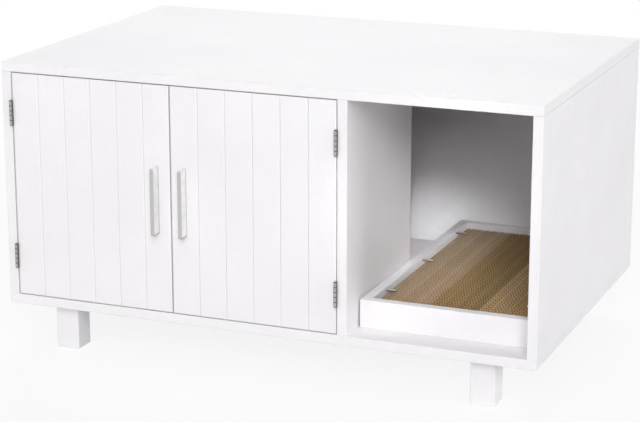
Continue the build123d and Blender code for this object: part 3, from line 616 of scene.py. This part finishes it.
# %% [markdown]
# The cat sees the cut edges of the sheets, so the pad looks like rows of small dark holes between thin
# brown lines. A picture of that would be flat, so the sheets are built. Geometry Nodes can lay out the
# rows from a few sizes: lines along the pad, bent into a wave by a sine, and swept with a thin upright
# section.

# %% Open a tree with named sizes
FLOAT, INT = "NodeSocketFloat", "NodeSocketInt"


def node_group_with(name, sizes):
    """A Geometry Nodes tree with geometry in and out and named sizes, and the outputs of its input node."""
    group = bpy.data.node_groups.new(name, "GeometryNodeTree")
    group.interface.new_socket("Geometry", in_out="INPUT", socket_type="NodeSocketGeometry")
    for size, kind in sizes.items():
        group.interface.new_socket(size, in_out="INPUT", socket_type=kind)
    group.interface.new_socket("Geometry", in_out="OUTPUT", socket_type="NodeSocketGeometry")
    return group, add_node(group, "NodeGroupInput").outputs


pad_tree, given = node_group_with("corrugated_pad", {
    "Plies": INT, "Ply": FLOAT, "Length": FLOAT, "Height": FLOAT, "Flute": FLOAT, "Paper": FLOAT,
    "Steps": INT, "Seed": INT})
print("sizes of the pad tree:", [output.name for output in given if output.name])

# %% One line for each ply, with a starting phase of its own
LAST_PHASE = 6.283  # radians, about a full turn

ply_step = add_node(pad_tree, "ShaderNodeCombineXYZ", {"X": given["Ply"]})
half_ply = add_node(pad_tree, "ShaderNodeMath", {0: given["Ply"], 1: 0.5}, operation="MULTIPLY")
first = add_node(pad_tree, "ShaderNodeCombineXYZ", {"X": half_ply})
rows = add_node(pad_tree, "GeometryNodeMeshLine", {
    "Count": given["Plies"], "Start Location": first, "Offset": ply_step}, mode="OFFSET")
row_phase = add_node(pad_tree, "FunctionNodeRandomValue", {
    "Min": 0.0, "Max": LAST_PHASE, "Seed": given["Seed"]}, data_type="FLOAT")
phased = add_node(pad_tree, "GeometryNodeStoreNamedAttribute", {
    "Geometry": rows, "Name": "phase", "Value": row_phase}, data_type="FLOAT", domain="POINT")
far_end = add_node(pad_tree, "ShaderNodeCombineXYZ", {"Y": given["Length"]})
line = add_node(pad_tree, "GeometryNodeCurvePrimitiveLine", {"End": far_end})
fine_line = add_node(pad_tree, "GeometryNodeResampleCurve", {"Curve": line, "Count": given["Steps"]})
laid = add_node(pad_tree, "GeometryNodeInstanceOnPoints", {"Points": phased, "Instance": fine_line})
lines = add_node(pad_tree, "GeometryNodeRealizeInstances", {0: laid})
print("nodes in the pad tree:", len(pad_tree.nodes))

# %% Bend the lines into waves
FULL_TURN = 6.28319  # radians

here = add_node(pad_tree, "GeometryNodeInputPosition")
along = add_node(pad_tree, "ShaderNodeSeparateXYZ", {0: here}).outputs["Y"]
phase = add_node(pad_tree, "GeometryNodeInputNamedAttribute", {"Name": "phase"}, data_type="FLOAT")
turns = add_node(pad_tree, "ShaderNodeMath", {0: along, 1: given["Flute"]}, operation="DIVIDE")
angle = add_node(pad_tree, "ShaderNodeMath", {0: turns, 1: FULL_TURN, 2: phase}, operation="MULTIPLY_ADD")
wave = add_node(pad_tree, "ShaderNodeMath", {0: angle}, operation="SINE")
swing = add_node(pad_tree, "ShaderNodeMath", {0: half_ply, 1: given["Paper"]}, operation="SUBTRACT")
sideways = add_node(pad_tree, "ShaderNodeMath", {0: wave, 1: swing}, operation="MULTIPLY")
aside = add_node(pad_tree, "ShaderNodeCombineXYZ", {"X": sideways})
waved = add_node(pad_tree, "GeometryNodeSetPosition", {"Geometry": lines, "Offset": aside})
print("nodes in the pad tree:", len(pad_tree.nodes))

# %% Straight liners between the plies, and the sweep of all lines into sheets
liner_count = add_node(pad_tree, "ShaderNodeMath", {0: given["Plies"], 1: 1.0}, operation="ADD")
liner_rows = add_node(pad_tree, "GeometryNodeMeshLine", {"Count": liner_count, "Offset": ply_step},
                      mode="OFFSET")
liner_laid = add_node(pad_tree, "GeometryNodeInstanceOnPoints", {"Points": liner_rows, "Instance": line})
liner_lines = add_node(pad_tree, "GeometryNodeRealizeInstances", {0: liner_laid})
all_lines = add_node(pad_tree, "GeometryNodeJoinGeometry", {0: [waved, liner_lines]})
upright = add_node(pad_tree, "GeometryNodeSetCurveNormal", {"Curve": all_lines}, mode="Z_UP")
section = add_node(pad_tree, "GeometryNodeCurvePrimitiveQuadrilateral", {
    "Width": given["Paper"], "Height": given["Height"]})
sheets = add_node(pad_tree, "GeometryNodeCurveToMesh", {
    "Curve": upright, "Profile Curve": section, "Fill Caps": True})
finished = add_node(pad_tree, "GeometryNodeRealizeInstances", {0: sheets})
finished = add_node(pad_tree, "GeometryNodeSetMaterial", {"Geometry": finished, "Material": cardboard})
add_node(pad_tree, "NodeGroupOutput", {"Geometry": finished})
print("nodes in the pad tree:", len(pad_tree.nodes))

# %% [markdown]
# A tree is a recipe, and a modifier on an object runs it. The export can't keep the modifier, so the
# result is turned into a plain mesh. The values go in by each socket's identifier, because a modifier
# doesn't know its inputs by name.

# %% Run a tree and measure the result
def grow(name, group, values, start_mesh):
    """Runs a tree on a start mesh with the given values, and returns the result as a plain mesh object."""
    piece = bpy.data.objects.new(name, start_mesh)
    scene.collection.objects.link(piece)
    modifier = piece.modifiers.new("growth", "NODES")
    modifier.node_group = group
    for item in group.interface.items_tree:
        if item.item_type == "SOCKET" and item.in_out == "INPUT" and item.name in values:
            modifier[item.identifier] = values[item.name]
    shape = bpy.data.meshes.new_from_object(piece.evaluated_get(bpy.context.evaluated_depsgraph_get()))
    piece.modifiers.clear()
    piece.data = shape
    shape.name = name
    return piece


def mesh_box(piece):
    """The lowest and the highest corner of the box around a piece."""
    places = [vertex.co for vertex in piece.data.vertices]
    return [[pick(place[axis] for place in places) for axis in range(3)] for pick in (min, max)]


print("trees to run:", [group.name for group in bpy.data.node_groups])

# %% Grow the pad
PAPER = 0.75 * MM  # thicker than real paper, so that a sheet's edge shows
STEPS_IN_A_FLUTE = 6
PAD_SEED = 4

plies = int(pad_size.x / PLY)
pad = grow("corrugated_scratch_pad", pad_tree, {
    "Plies": plies, "Ply": pad_size.x / plies, "Length": pad_size.y, "Height": pad_size.z, "Flute": FLUTE,
    "Paper": PAPER, "Steps": int(STEPS_IN_A_FLUTE * pad_size.y / FLUTE), "Seed": PAD_SEED},
    bpy.data.meshes.new("start"))
for vertex in pad.data.vertices:
    vertex.co += Vector((pad_low.x, pad_low.y, pad_low.z + pad_size.z / 2))
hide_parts("scratch_pad")
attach(pad, "tray")
print("pad triangles:", sum(len(face.vertices) - 2 for face in pad.data.polygons))
print("pad box:", [[round(v / MM, 1) for v in corner] for corner in mesh_box(pad)], "mm")

# %% [markdown]
# Screws hold the hinges, the pulls and the catch. The solids have plain heads, and a real one has a
# cross for the driver. Cutting every cross by hand would be slow, so the screws are grown again with
# Geometry Nodes: one tree makes a screw from its sizes, and puts a copy on each point, turned so that
# its head faces the way that the point says. Nobody lines up the crosses when driving screws, so each
# gets a random turn. A countersunk head is a cone below the surface, and a pan head is a low drum with
# a sloped top above it.

# %% Heads for the screws
HEAD_SIDES = 28
PAN_TOP = 0.72  # the flat top of a pan head, as a share of its width

screw_tree, given = node_group_with("cross_head_screws", {
    "Head": FLOAT, "Shank": FLOAT, "Length": FLOAT, "Dome": FLOAT, "Seed": INT})
head_radius = add_node(screw_tree, "ShaderNodeMath", {0: given["Head"], 1: 0.5}, operation="MULTIPLY")
shank_radius = add_node(screw_tree, "ShaderNodeMath", {0: given["Shank"], 1: 0.5}, operation="MULTIPLY")
sink = add_node(screw_tree, "ShaderNodeMath", {0: head_radius, 1: shank_radius}, operation="SUBTRACT")
cone = add_node(screw_tree, "GeometryNodeMeshCone", {
    "Vertices": HEAD_SIDES, "Radius Top": head_radius, "Radius Bottom": shank_radius, "Depth": sink})
down = add_node(screw_tree, "ShaderNodeMath", {0: sink, 1: -1.0}, operation="MULTIPLY")
down = add_node(screw_tree, "ShaderNodeCombineXYZ", {"Z": down})
cone = add_node(screw_tree, "GeometryNodeTransform", {"Geometry": cone, "Translation": down})

half_dome = add_node(screw_tree, "ShaderNodeMath", {0: given["Dome"], 1: 0.5}, operation="MULTIPLY")
top_radius = add_node(screw_tree, "ShaderNodeMath", {0: head_radius, 1: PAN_TOP}, operation="MULTIPLY")
drum = add_node(screw_tree, "GeometryNodeMeshCone", {
    "Vertices": HEAD_SIDES, "Radius Top": head_radius, "Radius Bottom": head_radius, "Depth": half_dome})
lift = add_node(screw_tree, "ShaderNodeCombineXYZ", {"Z": half_dome})
slope = add_node(screw_tree, "GeometryNodeMeshCone", {
    "Vertices": HEAD_SIDES, "Radius Top": top_radius, "Radius Bottom": head_radius, "Depth": half_dome})
slope = add_node(screw_tree, "GeometryNodeTransform", {"Geometry": slope, "Translation": lift})
pan = add_node(screw_tree, "GeometryNodeMeshBoolean", {"Mesh 2": [slope, drum]}, operation="UNION")
domed = add_node(screw_tree, "FunctionNodeCompare", {"A": given["Dome"], "B": 0.0}, data_type="FLOAT",
                 operation="GREATER_THAN")
head = add_node(screw_tree, "GeometryNodeSwitch", {"Switch": domed, "False": cone, "True": pan},
                input_type="GEOMETRY")
print("nodes in the screw tree:", len(screw_tree.nodes))

# %% The cross, which is two blocks cut out of the head
CROSS_ARM, CROSS_SLIT = 0.62, 0.15  # length and width of a slit, as shares of the head's width
CROSS_DEPTH = 0.4  # half of this is in the air above the head

arm, slit, deep = (
    add_node(screw_tree, "ShaderNodeMath", {0: given["Head"], 1: share}, operation="MULTIPLY")
    for share in (CROSS_ARM, CROSS_SLIT, CROSS_DEPTH))
top = add_node(screw_tree, "ShaderNodeCombineXYZ", {"Z": given["Dome"]})
blocks = []
for sizes in ({"X": arm, "Y": slit, "Z": deep}, {"X": slit, "Y": arm, "Z": deep}):
    size = add_node(screw_tree, "ShaderNodeCombineXYZ", sizes)
    block = add_node(screw_tree, "GeometryNodeMeshCube", {"Size": size})
    blocks.append(add_node(screw_tree, "GeometryNodeTransform", {"Geometry": block, "Translation": top}))
cross = add_node(screw_tree, "GeometryNodeMeshBoolean", {"Mesh 1": head, "Mesh 2": blocks},
                 operation="DIFFERENCE")
print("nodes in the screw tree:", len(screw_tree.nodes))

# %% The shank, from the narrow end of the head, so that it doesn't fill the cross
SHANK_SIDES = 16
NECK = 0.95  # where the shank starts, as a share of the countersunk head's depth

neck = add_node(screw_tree, "ShaderNodeMath", {0: sink, 1: NECK}, operation="MULTIPLY")
neck = add_node(screw_tree, "GeometryNodeSwitch", {"Switch": domed, "False": neck, "True": 0.0},
                input_type="FLOAT")
rest = add_node(screw_tree, "ShaderNodeMath", {0: given["Length"], 1: neck}, operation="SUBTRACT")
centre = add_node(screw_tree, "ShaderNodeMath", {0: given["Length"], 1: neck}, operation="ADD")
centre = add_node(screw_tree, "ShaderNodeMath", {0: centre, 1: -0.5}, operation="MULTIPLY")
below = add_node(screw_tree, "ShaderNodeCombineXYZ", {"Z": centre})
shank = add_node(screw_tree, "GeometryNodeMeshCylinder", {
    "Vertices": SHANK_SIDES, "Radius": shank_radius, "Depth": rest})
shank = add_node(screw_tree, "GeometryNodeTransform", {"Geometry": shank, "Translation": below})
screw = add_node(screw_tree, "GeometryNodeJoinGeometry", {0: [cross, shank]})
print("nodes in the screw tree:", len(screw_tree.nodes))

# %% One screw on each point, facing its own way
LAST_TURN = 3.14  # radians, about half a turn

facing = add_node(screw_tree, "GeometryNodeInputNamedAttribute", {"Name": "facing"},
                  data_type="FLOAT_VECTOR")
face = add_node(screw_tree, "FunctionNodeAlignRotationToVector", {"Vector": facing}, axis="Z")
turn = add_node(screw_tree, "FunctionNodeRandomValue", {
    "Min": 0.0, "Max": LAST_TURN, "Seed": given["Seed"]}, data_type="FLOAT")
turn = add_node(screw_tree, "ShaderNodeCombineXYZ", {"Z": turn})
turn = add_node(screw_tree, "FunctionNodeEulerToRotation", {0: turn})
face = add_node(screw_tree, "FunctionNodeRotateRotation", {0: face, 1: turn}, rotation_space="LOCAL")
driven = add_node(screw_tree, "GeometryNodeInstanceOnPoints", {
    "Points": given["Geometry"], "Instance": screw, "Rotation": face})
driven = add_node(screw_tree, "GeometryNodeRealizeInstances", {0: driven})
driven = add_node(screw_tree, "GeometryNodeSetMaterial", {"Geometry": driven, "Material": zinc})
add_node(screw_tree, "NodeGroupOutput", {"Geometry": driven})
print("nodes in the screw tree:", len(screw_tree.nodes))

# %% [markdown]
# The places are those of the solids, and each row of screws takes the place of one solid and moves with
# the same body: the frame's leaves stay with the cabinet, and the doors take their own screws along. A
# table is easier to check against the drawing than places that are worked out, so the places are listed
# in millimetres.

# %% The places of the screws
RIGHT, LEFT, BACK, DOWN = (1, 0, 0), (-1, 0, 0), (0, 1, 0), (0, 0, -1)
LEAF = (-259.75, (386, 366, 160, 140))  # depth and heights
PULL = (-251, (231, 295))
CATCH = (-240.9, (436,))
STRIKE = (-250, (431.3,))


def row(x, depth_and_heights, way):
    """Places above each other, with the way that the heads face."""
    depth, heights = depth_and_heights
    return [((x, depth, height), way) for height in heights]


screws = {
    "frame_leaf_screws": ("cabinet", "hinge", row(-409.3, LEAF, RIGHT) + row(121.3, LEAF, LEFT)),
    "left_leaf_screws": ("left_door_body", "hinge", row(-409.0, LEAF, LEFT)),
    "right_leaf_screws": ("right_door_body", "hinge", row(121.0, LEAF, RIGHT)),
    "left_handle_screws": ("left_door_body", "pull", row(-166.75, PULL, BACK)),
    "right_handle_screws": ("right_door_body", "pull", row(-121.25, PULL, BACK)),
    "catch_screws": ("cabinet", "catch", row(-171, CATCH, DOWN) + row(-117, CATCH, DOWN)),
    "left_strike_screw": ("left_door_body", "catch", row(-156, STRIKE, BACK)),
    "right_strike_screw": ("right_door_body", "catch", row(-132, STRIKE, BACK)),
}
print("screws:", sum(len(places) for body, kind, places in screws.values()))

# %% Drive the screws
SCREW_SIZES = {
    "hinge": {"Head": 4.8, "Shank": 2.5, "Length": 11.0, "Dome": 0.0},
    "pull": {"Head": 7.5, "Shank": 4.0, "Length": 25.0, "Dome": 2.2},
    "catch": {"Head": 5.0, "Shank": 2.8, "Length": 11.0, "Dome": 0.0},
}  # millimetres

for order, (node_name, (body, kind, places)) in enumerate(screws.items()):
    start = bpy.data.meshes.new("screw_places")
    start.from_pydata([[v * MM for v in place] for place, way in places], [], [])
    facing = start.attributes.new("facing", "FLOAT_VECTOR", "POINT")
    for item, (place, way) in zip(facing.data, places):
        item.vector = way
    values = {size: length * MM for size, length in SCREW_SIZES[kind].items()}
    piece = grow("cross_head_" + node_name, screw_tree, {**values, "Seed": order}, start)
    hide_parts(node_name)
    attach(piece, body)
    corner_pairs = zip(mesh_box(piece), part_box(node_name))
    off = max(abs(a - b) for ours, solid in corner_pairs for a, b in zip(ours, solid))
    print(node_name, len(piece.data.polygons), "faces, off the solid by up to", round(off / MM, 2), "mm")

# %% [markdown]
# Last comes a count of the pieces that the scene adds.

# %% Count the added pieces and finish
print("pieces that the scene adds:", 1 + len(screws))
